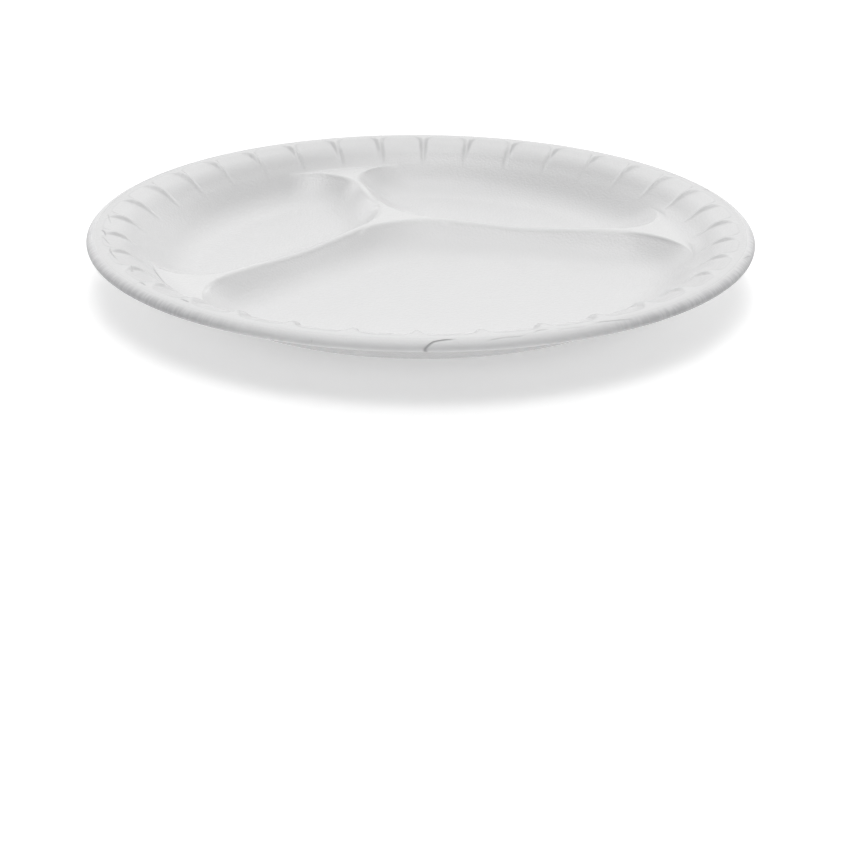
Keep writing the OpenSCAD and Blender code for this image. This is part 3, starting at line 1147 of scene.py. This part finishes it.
        # Painted light: the tops of the dividers and the junction, high and inside the wall, are paler.
        up = shader.node("ShaderNodeSeparateXYZ", {}, {0: place}, 2)
        inner = 1 - ramp(radius, self.crest_fade, self.crest_end)
        crest = ramp(up, self.crest_low, self.crest_high) * inner

        # The skin's random tone, then painted light on the crests, painted shade toward the lip, the
        # lip's band of wear and painted shade, and painted shade in creases and folds.
        skin = blend(grain * self.grain_share + cloud * self.cloud_share, self.shade, self.colour)
        skin = blend(crest, skin, self.crest_painted_light_colour)
        skin = blend(wear_and_shade, blend(lip, skin, self.lip_painted_shade_colour), self.wear_and_shade_colour)
        skin = blend(groove * self.crease_shade_share, skin, self.painted_crease_shade_colour)
        skin = blend(fold * self.fold_shade_share, skin, self.painted_crease_shade_colour)
        height = (
            grain * self.grain_depth
            + cloud * self.cloud_depth
            - wear_and_shade * wrinkle * self.wrinkle_depth
            - groove * self.groove_depth
            - fold * self.fold_depth
        )
        bump = shader.node("ShaderNodeBump", {}, {"Height": height, "Distance": 1.0, "Strength": 1.0})
        spread = (cloud - self.noise_middle) * self.roughness_spread
        roughness = self.roughness + spread + lip * self.lip_roughness
        sockets = {"Base Color": skin, "Roughness": roughness, "Normal": bump}
        return shader.finish(shader.node("ShaderNodeBsdfPrincipled", {}, sockets))


@dataclass(frozen=True)
class Glow:
    """One soft glow of the studio's sky.

    Its side is the turn from the camera's own azimuth in degrees, its height the angle above the
    horizon, and its sharpness the power of the cosine by which it fades.
    """

    side: float
    height: float
    sharpness: float
    strength: float


@dataclass(frozen=True)
class Studio:
    """Pale floor, soft light from above and the camera at the photograph's angle.

    The image's side, the focal length and the centre are pixels, the roll is radians, and the
    sky's base and glows are strengths. The clip distances and the floor are metres.
    """

    image: int = 850
    distance: float = 534.75
    elevation: float = 17.97
    front: float = -90.0
    turn: float = 19.5
    lip_z: float = 18.1
    sensor: float = 36.0
    focal: float = 1558.9
    centre_x: float = 420.77
    centre_y: float = 219.77
    roll: float = 0.0059
    clip_start: float = 0.01
    clip_end: float = 20.0
    base: float = 0.245
    glows: tuple[Glow, ...] = (
        Glow(0.0, 90.0, 40.0, 2.16),
        Glow(0.0, 90.0, 10.0, 3.24),
        Glow(180.0, 25.0, 14.0, 0.58),
        Glow(140.0, 8.0, 30.0, 4.34),
        Glow(220.0, 8.0, 30.0, 4.19),
        Glow(180.0, 50.0, 8.0, 1.39),
    )
    floor_half: float = 6.0
    floor_colour: Colour = (0.9, 0.9, 0.9, 1.0)
    floor_roughness: float = 0.9
    floor_glow: float = 0.28
    glow_colour: Colour = (1.0, 1.0, 1.0, 1.0)

    def camera(self) -> bpy.types.Object:
        """Sets the camera at the measured place, turn, roll, lens and framing.

        Returns:
            The camera.
        """
        e, t = math.radians(self.elevation), math.radians(self.turn)
        data = bpy.data.cameras.new("camera")
        data.sensor_width = self.sensor
        data.lens = self.focal / self.image * self.sensor
        data.shift_x = (self.image / 2 - self.centre_x) / self.image
        data.shift_y = (self.centre_y - self.image / 2) / self.image
        data.clip_start, data.clip_end = self.clip_start, self.clip_end
        camera = bpy.data.objects.new("camera", data)
        bpy.context.scene.collection.objects.link(camera)
        forward = Vector((math.sin(t) * math.cos(e), math.cos(t) * math.cos(e), -math.sin(e)))
        side = Vector((math.cos(t), -math.sin(t), 0))
        up = side.cross(forward)
        place = Vector((0, 0, self.lip_z)) - forward * self.distance
        aim = Matrix((side, up, -forward)).transposed().to_4x4()
        camera.matrix_world = Matrix.Translation(place * MM) @ aim @ Matrix.Rotation(self.roll, 4, "Z")
        bpy.context.scene.camera = camera
        return camera

    def lights(self) -> None:
        """Sets the sky: an even base and the soft glows, each a power of a cosine."""
        scene = bpy.context.scene
        shader = Shader(bpy.data.worlds.new("studio"))
        way = shader.node("ShaderNodeTexCoord", {}, {}, "Generated")
        sky = shader.math("ADD", self.base, 0.0)
        for glow in self.glows:
            height = math.radians(glow.height)
            level = unit(self.front - self.turn + glow.side) * math.cos(height)
            dot = shader.vector("DOT_PRODUCT", {0: way, 1: (*level, math.sin(height))}, "Value")
            facing = shader.math("MAXIMUM", dot, 0.0)
            sky = sky + glow.strength * facing**glow.sharpness
        scene.world = shader.finish(shader.node("ShaderNodeBackground", {}, {"Strength": sky}))
        scene.view_settings.view_transform = "Standard"

    def floor(self) -> bpy.types.Object:
        """Lays a wide pale floor under the plate.

        Returns:
            The floor, which belongs to the stage.
        """
        mesh = bpy.data.meshes.new("floor")
        half = self.floor_half
        corners = [(-half, -half, 0), (half, -half, 0), (half, half, 0), (-half, half, 0)]
        mesh.from_pydata(corners, [], [(0, 1, 2, 3)])
        floor = bpy.data.objects.new("floor", mesh)
        bpy.context.scene.collection.objects.link(floor)
        shader = Shader(bpy.data.materials.new("pale_floor"))
        sockets = {
            "Base Color": self.floor_colour,
            "Roughness": self.floor_roughness,
            "Emission Color": self.glow_colour,
            "Emission Strength": self.floor_glow,
        }
        mesh.materials.append(shader.finish(shader.node("ShaderNodeBsdfPrincipled", {}, sockets)))
        return floor


def main() -> None:
    """Builds the studio and the plate, and reports each piece."""
    logging.basicConfig(level=logging.INFO, format="%(name)s: %(message)s")
    studio = Studio()
    studio.camera()
    plate = FoamPlate().build()
    plate.data.materials.append(FoamFinish().material())
    studio.floor()
    studio.lights()
    triangles = sum(len(p.vertices) - 2 for p in plate.data.polygons)
    LOG.info("%s: %d triangles", plate.name, triangles)


if __name__ == "__main__":
    main()
